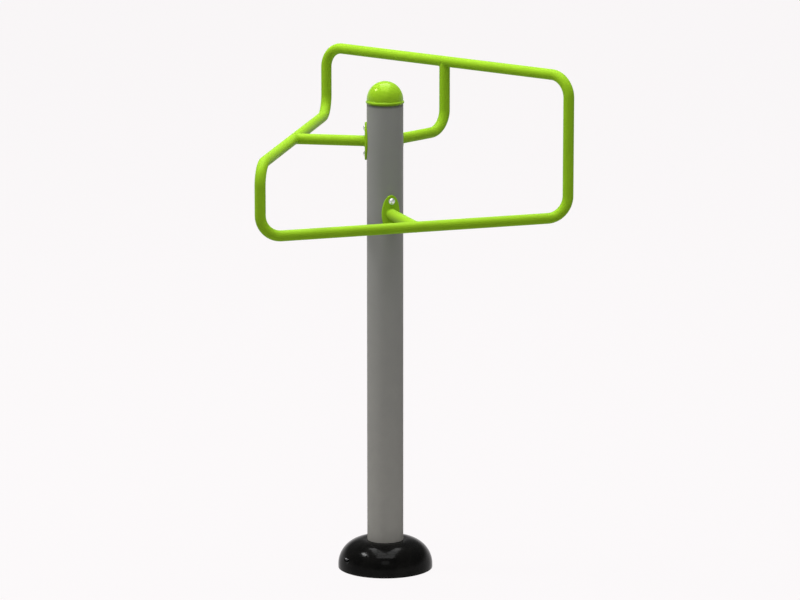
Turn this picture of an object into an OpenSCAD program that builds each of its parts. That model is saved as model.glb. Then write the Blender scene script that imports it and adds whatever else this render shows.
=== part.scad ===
// Outdoor stretching station. A grey post carries a closed loop of green tube that runs
// round it at three heights. Seen from above the loop is a triangle centred on the post.
// The post's axis is Z, the ground is z = 0, and the low rail runs along X in front, at -Y.
// All sizes are in millimetres.

/* [Post] */
// Outside diameter of the post tube
post_d = 114.3; // [100:0.1:127]
// Wall of the post tube
post_wall = 3.6; // [2.5:0.1:6]
// Height of the post's top edge above the middle arm
post_above_mid = 119; // [100:1:180]

/* [Rail loop] */
// Outside diameter of the rail and arm tubes
rail_d = 33.7; // [26:0.1:42]
// Wall of the rail and arm tubes
rail_wall = 2.6; // [1.5:0.1:4]
// Length of one side of the triangle, between the tube axes at its corners
side = 1000; // [800:10:1200]
// Height of the low rail's axis above the ground
low_z = 1150; // [700:10:1250]
// Height from each rail to the next one
step = 220; // [180:5:300]
// Bend radius of the tubes, to the tube axis
bend_r = 67; // [50:1:85]

/* [Saddle plates] */
// Width of a saddle plate, across the post
saddle_w = 58; // [50:1:70]
// Height of a saddle plate, along the post
saddle_h = 120; // [110:1:150]
// Thickness of a saddle plate
saddle_t = 6; // [4:0.5:8]
// Distance between the two bolts of a saddle plate
bolt_pitch = 82; // [72:1:90]

/* [Saddle fasteners] */
// Thread diameter of the saddle bolts
bolt_d = 10; // [8:1:12]
// Length of a saddle bolt under its head
bolt_l = 25; // [18:1:32]
// Diameter of a bolt head
head_d = 17.5; // [15:0.5:19]
// Height of a bolt head
head_h = 5.5; // [4:0.5:7]
// Width across the flats of the bolt's hexagon socket
socket_af = 6; // [4:0.5:7]
// Depth of the bolt's hexagon socket
socket_depth = 3; // [2:0.5:4]
// Outside diameter of a washer
washer_d = 20; // [19:0.5:23]
// Thickness of a washer
washer_t = 2; // [1:0.5:3]
// Outside diameter of a threaded insert in the post
insert_d = 18; // [15:0.5:20]
// Length of a threaded insert
insert_l = 20; // [15:1:25]

/* [Post cap] */
// How far the bead round the cap's foot stands out from the post
cap_bead_out = 3; // [1.5:0.1:4]
// Height of the bead
cap_bead_h = 12; // [8:0.5:16]
// Height of the cap's straight part between the bead and the dome
cap_straight = 2; // [0:0.5:10]
// Wall of the cap
cap_wall = 3; // [2:0.5:5]
// Length of the spigot that goes into the post
cap_spigot = 35; // [20:1:45]

/* [Base] */
// Distance of the base flange's rim from the cover's wall
flange_clear = 17; // [10:1:25]
// Thickness of the base flange
flange_t = 12; // [8:1:15]
// Distance of the anchor holes' centres from the flange's rim
anchor_edge = 30; // [22:1:36]
// Diameter of an anchor hole
anchor_d = 18; // [14:1:22]
// Diameter of the drain hole in the middle of the flange
drain_d = 60; // [30:1:80]
// Thickness of a gusset
gusset_t = 8; // [5:1:12]
// Distance of a gusset's top from the cover's collar
gusset_top_clear = 4; // [2:1:20]
// Distance of a gusset's outer end from the cover's screw tubes
gusset_clear = 3.5; // [2:0.5:12]
// Height of a gusset at its outer end
gusset_toe = 10; // [4:1:14]

/* [Cover] */
// Diameter of the dome cover
cover_d = 300; // [290:1:330]
// Height of the dome cover
cover_h = 90; // [88:1:96]
// Height of the straight edge at the cover's foot
cover_edge = 8; // [4:1:12]
// Wall of the cover
cover_wall = 3; // [2:0.5:4]
// Depth of the collar that holds the post
collar_h = 18; // [8:1:20]
// Turn of the cover about the post, as an angle
cover_turn = -20; // [-180:5:180]
// Height of the joining screws above the ground
screw_z = 37; // [36:1:46]
// Distance of the joining screws' axes from the cover's rim
screw_inset = 29; // [26:1:31]
// Diameter of the pocket for a screw head
pocket_d = 16; // [14:0.5:17]
// Distance from the joint to the bottom of the pocket
pocket_seat = 45; // [30:1:55]
// Wall of the tubes that hold the screws
boss_wall = 2; // [1.5:0.5:3]
// Depth of the tube that takes the screw's end
boss_depth = 28; // [24:1:40]
// Diameter of a joining screw
screw_d = 6; // [4:0.5:7]
// Length of a joining screw under its head
screw_l = 60; // [50:1:64]
// Diameter of the joining screw's head
screw_head_d = 11; // [9:0.5:12]
// Height of the joining screw's head
screw_head_h = 4; // [2.5:0.5:6]

/* [Fits] */
// Gap between a curved face and the piece that is welded to it
weld_gap = 0.3; // [0.1:0.1:0.6]
// Gap between the cover or the cap's spigot and the post
slip_gap = 0.35; // [0.2:0.05:1]
// Gap between the two halves of the cover
joint_gap = 0.4; // [0.2:0.1:1]
// Gap round a bolt in its hole
bolt_gap = 0.5; // [0.2:0.1:1]
// Gap round a thread in its insert or tube
thread_gap = 0.1; // [0.05:0.05:0.3]

/* [Hidden] */
$fn = 96;

// Colours of the finishes
green = [0.52, 0.72, 0.12];
grey = [0.49, 0.50, 0.49];
black = [0.07, 0.07, 0.07];
steel = [0.78, 0.79, 0.80];

// How far a cut runs past the face that it opens
over = 2;

// The triangle: its turn from side to side, and the distance from its centre to a side
turn = 120;
side_out = side / (2 * sqrt(3));

mid_z = low_z + step;
high_z = mid_z + step;

post_r = post_d / 2;
post_bore_r = post_r - post_wall;
post_top = mid_z + post_above_mid;

rail_r = rail_d / 2;
rail_bore_r = rail_r - rail_wall;

// Each arm's turn about the post and its height
arm_places = [[0, low_z], [-turn, mid_z], [turn, mid_z]];

saddle_in_r = post_r + weld_gap;
saddle_out_r = saddle_in_r + saddle_t;
// The bolt's washer lies in a flat round seat that is sunk a little below where its edge
// would meet the plate's curved face
seat_sink = 0.3;
seat_r = washer_d / 2 + bolt_gap;
seat_out = sqrt(saddle_out_r * saddle_out_r - seat_r * seat_r) - seat_sink;
hole_r = bolt_d / 2 + bolt_gap;
insert_r = insert_d / 2;
// The insert's outer face stays just inside the post's curved face
insert_out = sqrt(post_r * post_r - insert_r * insert_r);
// A head is a slice of a ball of this radius
head_r = head_d / 2;
head_ball_r = (head_r * head_r + head_h * head_h) / (2 * head_h);

cap_bead_r = post_r + cap_bead_out;
cap_foot_h = cap_bead_h + cap_straight;
cap_dome_z = post_top + cap_foot_h;
cap_spigot_r = post_bore_r - slip_gap;

cover_r = cover_d / 2;
cover_round = cover_h - cover_edge;
cover_shoulder = cover_r - cover_round;
cover_hole_r = post_r + slip_gap;
pocket_r = pocket_d / 2;
screw_out = cover_r - screw_inset;
screw_hole_r = screw_d / 2 + bolt_gap;
screw_tube_bore_r = screw_d / 2 + thread_gap;
screw_tube_r = screw_tube_bore_r + 2 * boss_wall;
// The turns of the cover's front and rear half about the post
half_turns = [0, 180];
// The lip inside each joint: its wall, its gap to the other half, its reach over the joint
// and the length that is joined to its own half
lip_wall = 2;
lip_gap = 0.3;
lip_reach = 7;
lip_root = 9;
lip_inset = cover_wall + lip_gap + lip_wall;
lip_stop = cover_hole_r + cover_wall + over;
// The webs that tie the screw tubes to the dome, and the socket in a screw's head
web_t = 4;
screw_socket_af = 4;
screw_socket_depth = 2.5;

// The flange fills the cover's foot, and its holes stand a set distance in from its rim
flange_r = cover_r - cover_wall - flange_clear;
anchor_out = flange_r - anchor_edge;
// The anchor holes, and the gussets between them
anchor_count = 4;
gusset_out = screw_out - pocket_r - boss_wall - gusset_clear;

function hexagon_r(across_flats) = across_flats / (2 * cos(30));

// Moves a shape to the place of one arm
module at_arm(place) {
    rotate([0, 0, place[0]]) translate([0, 0, place[1]]) children();
}

// Turns a shape that was drawn along Z so that it points away from the post, along -Y
module outwards() {
    rotate([90, 0, 0]) children();
}

module ring(outer_r, inner_r, height) {
    difference() {
        cylinder(r = outer_r, h = height);
        translate([0, 0, -over]) cylinder(r = inner_r, h = height + 2 * over);
    }
}

// Places a shape at each bolt of each saddle plate
module at_bolts() {
    for (place = arm_places) {
        for (up = [-1, 1]) {
            at_arm(place) translate([0, 0, up * bolt_pitch / 2]) outwards() children();
        }
    }
}

// A solid rod of radius r that follows a quarter bend from -Z towards +X, then goes up
module bend_up(r, leg, extra) {
    translate([side / 2 - bend_r, 0, bend_r])
        rotate([90, 0, 0])
            rotate([0, 0, -90])
                rotate_extrude(angle = 90) translate([bend_r, 0]) circle(r = r);
    translate([side / 2, 0, bend_r]) cylinder(r = r, h = leg - bend_r + extra);
}

// One end of a rail: a leg of this length, which goes down where the length is negative
module rail_end(r, leg, extra) {
    if (leg > 0) bend_up(r, leg, extra);
    else mirror([0, 0, 1]) bend_up(r, -leg, extra);
}

// The bar along X with a leg at each end, as a solid rod of radius r
module rail_run(r, left_leg, right_leg, extra) {
    translate([-side / 2 + bend_r, 0, 0])
        rotate([0, 90, 0])
            cylinder(r = r, h = side - 2 * bend_r);
    mirror([1, 0, 0]) rail_end(r, left_leg, extra);
    rail_end(r, right_leg, extra);
}

module rail(side_turn, height, left_leg, right_leg) {
    rotate([0, 0, side_turn])
        translate([0, -side_out, height])
            difference() {
                rail_run(rail_r, left_leg, right_leg, 0);
                rail_run(rail_bore_r, left_leg, right_leg, over);
            }
}

// What an arm is cut back by at the post: the saddle plate's outer face
module saddle_cut() {
    cylinder(r = saddle_out_r + weld_gap, h = saddle_h, center = true);
}

// What an arm is cut back by at the rail: a rod as thick as the rail, with the weld gap
module rail_cut(height) {
    translate([0, -side_out, height])
        rotate([0, 90, 0])
            cylinder(r = rail_r + weld_gap, h = saddle_w + 2 * over, center = true);
}

module straight_arm() {
    difference() {
        outwards() cylinder(r = rail_r, h = side_out);
        translate([0, over, 0]) outwards() cylinder(r = rail_bore_r, h = side_out + 2 * over);
        saddle_cut();
        rail_cut(0);
    }
}

// The arm that bends up: out from the post, a quarter bend, then up to the high rail
module rising_run(r, extra) {
    outwards() cylinder(r = r, h = side_out - bend_r);
    translate([0, -side_out + bend_r, bend_r])
        rotate([0, 0, -90])
            rotate([90, 0, 0])
                rotate([0, 0, -90])
                    rotate_extrude(angle = 90) translate([bend_r, 0]) circle(r = r);
    translate([0, -side_out, bend_r]) cylinder(r = r, h = step - bend_r + extra);
}

module rising_arm() {
    difference() {
        rising_run(rail_r, 0);
        rising_run(rail_bore_r, over);
        saddle_cut();
        rail_cut(step);
    }
}

// A curved plate that hugs the post, with an oval outline and two bolt holes
module saddle() {
    steps = 72;
    oval = [for (i = [0 : steps - 1])
        [saddle_w / 2 * cos(360 * i / steps), saddle_h / 2 * sin(360 * i / steps)]];
    difference() {
        intersection() {
            translate([0, 0, -saddle_h]) ring(saddle_out_r, saddle_in_r, 2 * saddle_h);
            outwards() linear_extrude(height = saddle_out_r + over) polygon(oval);
        }
        for (up = [-1, 1]) {
            translate([0, 0, up * bolt_pitch / 2]) outwards() {
                cylinder(r = hole_r, h = saddle_out_r + over);
                translate([0, 0, seat_out]) cylinder(r = seat_r, h = saddle_t);
            }
        }
    }
}

// A domed head on a plain shank, with a hexagon socket. The head stands on z = 0.
module domed_bolt() {
    difference() {
        union() {
            intersection() {
                cylinder(r = head_r, h = head_h);
                translate([0, 0, head_h - head_ball_r]) sphere(r = head_ball_r);
            }
            translate([0, 0, -bolt_l]) cylinder(r = bolt_d / 2, h = bolt_l);
        }
        translate([0, 0, head_h - socket_depth])
            cylinder(r = hexagon_r(socket_af), h = socket_depth + over, $fn = 6);
    }
}

module gusset(index) {
    outline = [
        [saddle_in_r, flange_t],
        [gusset_out, flange_t],
        [gusset_out, flange_t + gusset_toe],
        [saddle_in_r, cover_h - collar_h - gusset_top_clear]
    ];
    color(grey)
        rotate([0, 0, 360 * index / anchor_count])
            rotate([90, 0, 0])
                linear_extrude(height = gusset_t, center = true) polygon(outline);
}

// The dome's section in radius and height, drawn inwards by an inset. Its foot is carried
// down by a drop, which is zero for the outer face.
module dome_outline(inset, drop) {
    intersection() {
        translate([0, -drop]) square([cover_r - inset, cover_h - inset + drop]);
        union() {
            square([cover_shoulder, cover_h - inset]);
            translate([0, -drop]) square([cover_r - inset, cover_edge + drop]);
            translate([cover_shoulder, cover_edge]) circle(r = cover_round - inset);
        }
    }
}

// The dome's wall, with the collar that hugs the post
module dome_section() {
    difference() {
        dome_outline(0, 0);
        dome_outline(cover_wall, over);
        square([cover_hole_r, cover_h + over]);
    }
    intersection() {
        dome_outline(0, 0);
        translate([cover_hole_r, cover_h - collar_h]) square([cover_wall, collar_h]);
    }
}

// A slice of a band inside the dome, on the -X side, between two distances from the joint
module lip_band(outer_inset, y_from, y_to) {
    intersection() {
        rotate_extrude() difference() {
            dome_outline(outer_inset, 0);
            dome_outline(lip_inset, over);
        }
        translate([-cover_r, y_from, 0]) cube([cover_r - lip_stop, y_to - y_from, cover_h]);
    }
}

// A tube along Y from the joint forwards, tied to the dome by a web. Its side is -1 for the
// tube with the pocket, at -X, and 1 for the tube that takes the other half's screw.
module screw_tube(hand, r, length, web_start) {
    intersection() {
        rotate_extrude() dome_outline(0, 0);
        union() {
            translate([hand * screw_out, 0, screw_z]) outwards() cylinder(r = r, h = length);
            translate([hand * (screw_out + cover_r) / 2, -(length + web_start) / 2, screw_z])
                cube([cover_r - screw_out, length - web_start, web_t], center = true);
        }
    }
}

module half_wall() {
    intersection() {
        union() {
            rotate_extrude() dome_section();
            screw_tube(-1, pocket_r + boss_wall, cover_r, 0);
            screw_tube(1, screw_tube_r, boss_depth, lip_reach + over);
        }
        translate([-cover_r, -cover_r - joint_gap / 2, 0])
            cube([cover_d, cover_r, cover_h]);
    }
    lip_band(cover_wall, -lip_root, -joint_gap / 2);
    lip_band(cover_wall + lip_gap, -lip_root, lip_reach);
}

// Half of the cover, on the -Y side of a joint that lies along X
module cover_half(half_turn) {
    color(black) rotate([0, 0, cover_turn + half_turn]) difference() {
        half_wall();
        translate([-screw_out, over, screw_z]) outwards()
            cylinder(r = screw_hole_r, h = pocket_seat + 2 * over);
        translate([-screw_out, -pocket_seat, screw_z]) outwards()
            cylinder(r = pocket_r, h = cover_r);
        translate([screw_out, over, screw_z]) outwards()
            cylinder(r = screw_tube_bore_r, h = boss_depth - boss_wall + over);
    }
}

module cover_screws() {
    color(steel) for (half_turn = half_turns) {
        rotate([0, 0, cover_turn + half_turn])
            translate([-screw_out, -pocket_seat, screw_z])
                outwards() difference() {
                    union() {
                        cylinder(r = screw_head_d / 2, h = screw_head_h);
                        translate([0, 0, -screw_l]) cylinder(r = screw_d / 2, h = screw_l);
                    }
                    translate([0, 0, screw_head_h - screw_socket_depth])
                        cylinder(r = hexagon_r(screw_socket_af), h = screw_head_h, $fn = 6);
                }
    }
}

module base_flange() {
    color(grey) difference() {
        cylinder(r = flange_r, h = flange_t);
        translate([0, 0, -over]) cylinder(r = drain_d / 2, h = flange_t + 2 * over);
        for (i = [0 : anchor_count - 1]) {
            rotate([0, 0, 360 * (i + 1 / 2) / anchor_count])
                translate([anchor_out, 0, -over])
                    cylinder(r = anchor_d / 2, h = flange_t + 2 * over);
        }
    }
}

module post() {
    color(grey) difference() {
        translate([0, 0, flange_t]) ring(post_r, post_bore_r, post_top - flange_t);
        at_bolts() cylinder(r = insert_r + thread_gap, h = post_r + over);
    }
}

module post_inserts() {
    color(steel) at_bolts() translate([0, 0, insert_out - insert_l])
        ring(insert_r, bolt_d / 2 + thread_gap, insert_l);
}

module saddle_washers() {
    color(steel) at_bolts() translate([0, 0, seat_out]) ring(washer_d / 2, hole_r, washer_t);
}

module saddle_bolts() {
    color(steel) at_bolts() translate([0, 0, seat_out + washer_t]) domed_bolt();
}

module cap_dome(r) {
    intersection() {
        translate([0, cap_dome_z]) circle(r = r);
        translate([0, cap_dome_z]) square([r, r]);
    }
}

module post_cap() {
    color(green) rotate_extrude() difference() {
        union() {
            cap_dome(post_r);
            translate([0, post_top]) square([post_r, cap_foot_h]);
            translate([cap_bead_r - cap_bead_h / 2, post_top + cap_bead_h / 2])
                circle(r = cap_bead_h / 2);
            translate([0, post_top - cap_spigot]) square([cap_spigot_r, cap_spigot]);
        }
        cap_dome(cap_spigot_r - cap_wall);
        translate([0, post_top - cap_spigot - over])
            square([cap_spigot_r - cap_wall, cap_spigot + cap_foot_h + over]);
    }
}

module cover_front() { cover_half(half_turns[0]); }
module cover_rear() { cover_half(half_turns[1]); }

module saddle_low() { color(green) at_arm(arm_places[0]) saddle(); }
module saddle_mid() { color(green) at_arm(arm_places[1]) saddle(); }
module saddle_high() { color(green) at_arm(arm_places[2]) saddle(); }

module arm_low() { color(green) at_arm(arm_places[0]) straight_arm(); }
module arm_mid() { color(green) at_arm(arm_places[1]) straight_arm(); }
module arm_high() { color(green) at_arm(arm_places[2]) rising_arm(); }

module rail_low() { color(green) rail(0, low_z, step / 2, step); }
module rail_mid() { color(green) rail(-turn, mid_z, step / 2, -step / 2); }
module rail_high() { color(green) rail(turn, high_z, -step, -step / 2); }

post();
post_cap();
post_inserts();
base_flange();
gusset(1);  // gusset_1
gusset(2);  // gusset_2
gusset(3);  // gusset_3
gusset(4);  // gusset_4
cover_front();
cover_rear();
cover_screws();
saddle_low();
saddle_mid();
saddle_high();
saddle_bolts();
saddle_washers();
arm_low();
arm_mid();
arm_high();
rail_low();
rail_mid();
rail_high();
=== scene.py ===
"""An outdoor stretching station: a round grey post carries a closed loop of green tube that
runs round it at three heights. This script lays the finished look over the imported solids.
All lengths are in metres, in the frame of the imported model: the post's axis is Z, the ground is
z = 0 and the low rail runs along X in front, at -Y."""

import math

import bmesh
import bpy
from bmesh.types import BMEdge, BMFace, BMVert
from bpy.props import FloatProperty, FloatVectorProperty, IntProperty, PointerProperty
from mathutils import Matrix, Vector


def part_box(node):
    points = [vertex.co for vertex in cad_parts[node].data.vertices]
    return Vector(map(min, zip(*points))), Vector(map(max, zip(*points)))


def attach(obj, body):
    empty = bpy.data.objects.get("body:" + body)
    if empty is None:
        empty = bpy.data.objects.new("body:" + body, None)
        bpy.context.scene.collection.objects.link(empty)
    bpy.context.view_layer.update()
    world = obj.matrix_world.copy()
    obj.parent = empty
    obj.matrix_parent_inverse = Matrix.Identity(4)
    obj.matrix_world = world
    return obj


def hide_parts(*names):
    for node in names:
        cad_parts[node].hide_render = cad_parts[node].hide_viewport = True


bl_info = {
    "name": "Stretching Station",
    "version": (1, 0, 0),
    "blender": (4, 5, 0),
    "location": "View3D > Sidebar > Station",
    "description": "Builds the finished pieces of an outdoor stretching station",
    "category": "Add Mesh",
}

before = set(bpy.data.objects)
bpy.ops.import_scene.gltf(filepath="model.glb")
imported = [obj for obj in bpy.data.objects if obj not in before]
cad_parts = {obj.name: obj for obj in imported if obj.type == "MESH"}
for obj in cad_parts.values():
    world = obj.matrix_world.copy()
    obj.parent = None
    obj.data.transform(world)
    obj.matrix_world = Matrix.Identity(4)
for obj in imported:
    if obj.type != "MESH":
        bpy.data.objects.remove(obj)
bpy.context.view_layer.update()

MM = 0.001
QUARTER = math.radians(90)
FULL_TURN = math.radians(360)
Y_AXIS = Vector((0, 1, 0))
Z_AXIS = Vector((0, 0, 1))

# Points that are nearer than this are one point
SMALLEST_GAP = 0.005 * MM


def tidy(length):
    """A length that was measured on a mesh, to the nearest hundredth of a millimetre."""
    return round(length, 5)


def middle(node):
    """The middle of a solid's box."""
    low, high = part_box(node)
    return (low + high) / 2


def span(node):
    """The size of a solid's box."""
    low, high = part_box(node)
    return high - low


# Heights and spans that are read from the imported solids
POST_FOOT, POST_TOP = (tidy(corner.z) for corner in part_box("post"))
CAP_FOOT, CAP_TOP = (tidy(corner.z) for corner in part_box("post_cap"))
LOW_HEIGHT = tidy(middle("arm_low").z)
MIDDLE_HEIGHT = tidy(middle("arm_mid").z)
STEP = MIDDLE_HEIGHT - LOW_HEIGHT
HIGH_HEIGHT = MIDDLE_HEIGHT + STEP
PLATE_HEIGHT = tidy(span("saddle_low").z)
PLATE_WIDTH = tidy(span("saddle_low").x)
RAIL_RADIUS = tidy(span("arm_low").z / 2)
SIDE = round(span("rail_low").x - 2 * RAIL_RADIUS, 3)
# The distance of each rail from the post's axis, and the turn from one side to the next
SIDE_OUT = SIDE / (2 * math.sqrt(3))
SIDE_TURN = math.radians(120)

# Each arm's turn about the post and its height
ARM_PLACES = {
    "low": (0, LOW_HEIGHT),
    "middle": (-SIDE_TURN, MIDDLE_HEIGHT),
    "high": (SIDE_TURN, MIDDLE_HEIGHT),
}

# A weld's section has this many faces, and each ripple has this many steps along the bead. The
# ripple is a share of the bead's radius, and so is the thinning at a rail's sides.
WELD_SIDES = 12
RIPPLE_STEPS = 6
RIPPLE_SHARE = 0.1
THINNING_SHARE = 0.6

# Edges that are sharper than this stay sharp when a piece is shaded smooth, in degrees
SHARP_ANGLE = 35
WELD_SHARP_ANGLE = 60

# An edge whose faces turn by more than this is a corner, in degrees
CORNER_ANGLE = 60

# Faces round a hole, round a washer or its seat, and round a plate or a bolt's head
HOLE_STEPS = 48
SEAT_STEPS = 64
HEAD_STEPS = 96

# Faces along the arcs of the cap's section, along the dome of a bolt's head, and from a plate's
# rim to its middle
CAP_LINING_STEPS = 24
CAP_BEAD_STEPS = 16
CAP_FILLET_STEPS = 6
CAP_DOME_STEPS = 40
HEAD_DOME_STEPS = 14
PLATE_RINGS = 14

# The post's faces are cut across at this share of a hole's radius above and below the hole
CUT_SHARE = 1.2

# The dome of a bolt's head ends at a share of its socket's flats, which clears the hexagon's
# corners. The lip is larger than the hexagon by a share.
DOME_END_SHARE = 0.62
LIP_SHARE = 1.08

# Half of the floor's side
FLOOR_REACH = 60

# The photograph's width in pixels, the camera's sensor in millimetres, and the lens and place of
# the camera that were fitted to the photograph
PHOTO_WIDTH = 800
SENSOR_WIDTH = 36
FOCAL_PIXELS = 4078.46
CAMERA_DISTANCE = 12.5525
CAMERA_HEIGHT = 3.46982
CAMERA_TURN = 0.33548
CAMERA_YAW = 0.00372
CAMERA_PITCH = 0.2046

# The light of the studio. The walls end and the ceiling starts at a sine of elevation. A lamp's
# elevation and its bearing from the camera's are in degrees.
WALL_TOP = 0.08
CEILING_FOOT = 0.3
CEILING_LEVEL = 0.15
WALL_LIGHT = 0.8
FLOOR_TONE = 0.38
BACKDROP_SHARE = 0.95
LAMP_TARGET = Vector((0, 0, 1))
# Each lamp's name, elevation, bearing, distance, width, height and radiance
LAMPS = (
    ("top_lamp", 86, 180, 7, 5, 8.6, 7),
    ("side_lamp", 50, -95, 6, 1.5, 0.8, 46),
    ("front_lamp", 38, 0, 8, 2.4, 2.4, 2),
)

# The kinds of a node group's sockets
NUMBER = "NodeSocketFloat"
VECTOR = "NodeSocketVector"
COLOUR = "NodeSocketColor"

# Colours of pale dust, which on the post also paints light towards its foot, of the painted shadow
# under the cap's bead, of what shows where a finish is rubbed, and the tint of the green's gloss
DUST_AND_PAINTED_LIGHT = (0.42, 0.40, 0.36, 1)
# The colour of the painted shadow under the cap's bead
PAINTED_SHADOW = (0.035, 0.05, 0.01, 1)
RUBBED_GREEN = (0.33, 0.56, 0.03, 1)
GREEN_GLOSS = (0.75, 1.0, 0.15, 1)
METAL_FLECK = (0.42, 0.43, 0.42, 1)
SCUFFED_BLACK = (0.05, 0.05, 0.05, 1)
RUBBED_STEEL = (0.8, 0.8, 0.8, 1)

# The finer grain of a powder coat: how much smaller and lower it is than the ripple
GRAIN_FINENESS = 4.5
GRAIN_SHARE = 0.15

# How strongly a metallic fleck shows
FLECK_SHARE = 0.35

# The painted shadow under the cap's bead thins out between these distances from the post's axis,
# and is full over this share of its reach
SEAM_NEAR = 65 * MM
SEAM_FAR = 70 * MM
SEAM_FULL_SHARE = 0.35


def length_prop(name, value, note):
    """A length that a user can change."""
    return FloatProperty(name=name, description=note, default=value, unit="LENGTH", precision=4)


def colour_prop(name, value, note):
    """A colour that a user can change."""
    return FloatVectorProperty(
        name=name, description=note, default=value, subtype="COLOR", size=3, min=0, max=1
    )


class StationSizes(bpy.types.PropertyGroup):
    """Sizes that the solids' boxes don't give."""

    post_radius: length_prop("Post radius", 57.15 * MM, "Outside radius of the post")
    post_wall: length_prop("Post wall", 3.6 * MM, "Wall of the post tube")
    rail_wall: length_prop("Rail wall", 2.6 * MM, "Wall of the rail and arm tubes")
    bend_radius: length_prop("Bend radius", 67 * MM, "Bend radius at the tube's axis")
    weld_gap: length_prop("Weld gap", 0.3 * MM, "Gap under a welded edge")
    weld_radius: length_prop("Weld radius", 2.3 * MM, "Radius of a weld bead")
    weld_pitch: length_prop("Weld ripple", 3.2 * MM, "Distance between a weld's ripples")
    plate_thickness: length_prop("Plate thickness", 6 * MM, "Thickness of a saddle plate")
    plate_round: length_prop("Plate edge", 1.5 * MM, "Radius of a saddle plate's outer edge")
    bolt_pitch: length_prop("Bolt pitch", 82 * MM, "Distance between a plate's two bolts")
    bolt_radius: length_prop("Bolt radius", 5 * MM, "Radius of a plate bolt's shank")
    bolt_length: length_prop("Bolt length", 25 * MM, "Length of a bolt under its head")
    head_radius: length_prop("Head radius", 8.75 * MM, "Radius of a bolt head")
    head_height: length_prop("Head height", 5.5 * MM, "Height of a bolt head")
    socket_flats: length_prop("Socket", 6 * MM, "Width across the flats of the socket")
    socket_lip: length_prop("Socket lip", 0.05 * MM, "Drop from the head to the socket's lip")
    socket_slope: length_prop("Socket slope", 0.35 * MM, "Drop from the head to the socket's wall")
    socket_depth: length_prop("Socket depth", 2.2 * MM, "Depth of the socket's straight wall")
    socket_point: length_prop("Socket point", 0.8 * MM, "Depth of the drill point in the socket")
    bolt_tip: length_prop("Bolt tip", 1 * MM, "Chamfer at a bolt's end")
    washer_radius: length_prop("Washer radius", 10 * MM, "Outside radius of a washer")
    washer_thickness: length_prop("Washer thickness", 2 * MM, "Thickness of a washer")
    washer_edge: length_prop("Washer edge", 0.3 * MM, "Radius of a washer's edges")
    seat_sink: length_prop("Seat sink", 0.3 * MM, "How far a washer's seat is sunk")
    hole_gap: length_prop("Hole gap", 0.5 * MM, "Gap round a bolt or washer")
    insert_radius: length_prop("Insert radius", 9 * MM, "Radius of a threaded insert")
    thread_gap: length_prop("Thread gap", 0.1 * MM, "Gap round a threaded insert")
    post_edge: length_prop("Post edge", 0.5 * MM, "Chamfer at the post's top")
    bead_out: length_prop("Bead", 3 * MM, "How far the cap's bead stands out")
    bead_height: length_prop("Bead height", 12 * MM, "Height of the cap's bead")
    cap_fillet: length_prop("Cap fillet", 1 * MM, "Fillet between the bead and the dome")
    cap_wall: length_prop("Cap wall", 3 * MM, "Wall of the cap")
    slip_gap: length_prop("Slip gap", 0.35 * MM, "Gap between the cap's spigot and the post")
    tube_sides: IntProperty(name="Tube sides", description="Faces round a tube", default=64)
    bend_steps: IntProperty(name="Bend steps", description="Faces along a bend", default=24)
    round_steps: IntProperty(name="Round steps", description="Faces round the post", default=128)


class StationColours(bpy.types.PropertyGroup):
    """Colours of the finishes."""

    green: colour_prop("Green", (0.25, 0.46, 0.016), "Powder coat of rails, arms and cap")
    grey: colour_prop("Grey", (0.245, 0.245, 0.233), "Coat of the post")
    black: colour_prop("Black", (0.002, 0.002, 0.002), "Moulded cover")
    steel: colour_prop("Steel", (0.72, 0.73, 0.74), "Bolts and washers")
    backdrop: colour_prop("Backdrop", (0.99, 0.965, 0.973), "Floor and background")


def sizes():
    """The sizes as they are set."""
    return bpy.context.scene.station_sizes


def colours():
    """The colours as they are set."""
    return bpy.context.scene.station_colours


def chosen(geometry, kind):
    """The members of an operator's result that are of one kind."""
    return [item for item in geometry if isinstance(item, kind)]


def add_object(name, data):
    """Adds an object to the scene."""
    added = bpy.data.objects.new(name, data)
    bpy.context.scene.collection.objects.link(added)
    return added


def object_from(name, bm):
    """Makes an object from a bmesh, which is used up."""
    mesh = bpy.data.meshes.new(name)
    bm.to_mesh(mesh)
    bm.free()
    return add_object(name, mesh)


def shade(mesh, sharp):
    """Shades a mesh smooth, but for the edges that are sharper than an angle."""
    mesh.shade_smooth()
    mesh.set_sharp_from_angle(angle=math.radians(sharp))


def finish_piece(name, bm, material, nodes, sharp=SHARP_ANGLE):
    """Makes a piece from a bmesh: shaded smooth, with its finish, riding on the body."""
    bmesh.ops.remove_doubles(bm, verts=bm.verts, dist=SMALLEST_GAP)
    bmesh.ops.recalc_face_normals(bm, faces=bm.faces)
    piece = object_from(name, bm)
    piece.data.materials.append(material)
    shade(piece.data, sharp)
    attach(piece, "root")
    if nodes:
        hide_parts(*nodes)
    return piece


def spin(bm, geom, centre, axis, angle, steps, merge=False):
    """Turns geometry about an axis, with faces or edges along its way."""
    return bmesh.ops.spin(
        bm,
        geom=geom,
        cent=centre,
        axis=axis,
        dvec=(0, 0, 0),
        angle=angle,
        space=Matrix.Identity(4),
        steps=steps,
        use_merge=merge,
        use_normal_flip=False,
        use_duplicate=False,
    )["geom_last"]


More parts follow.
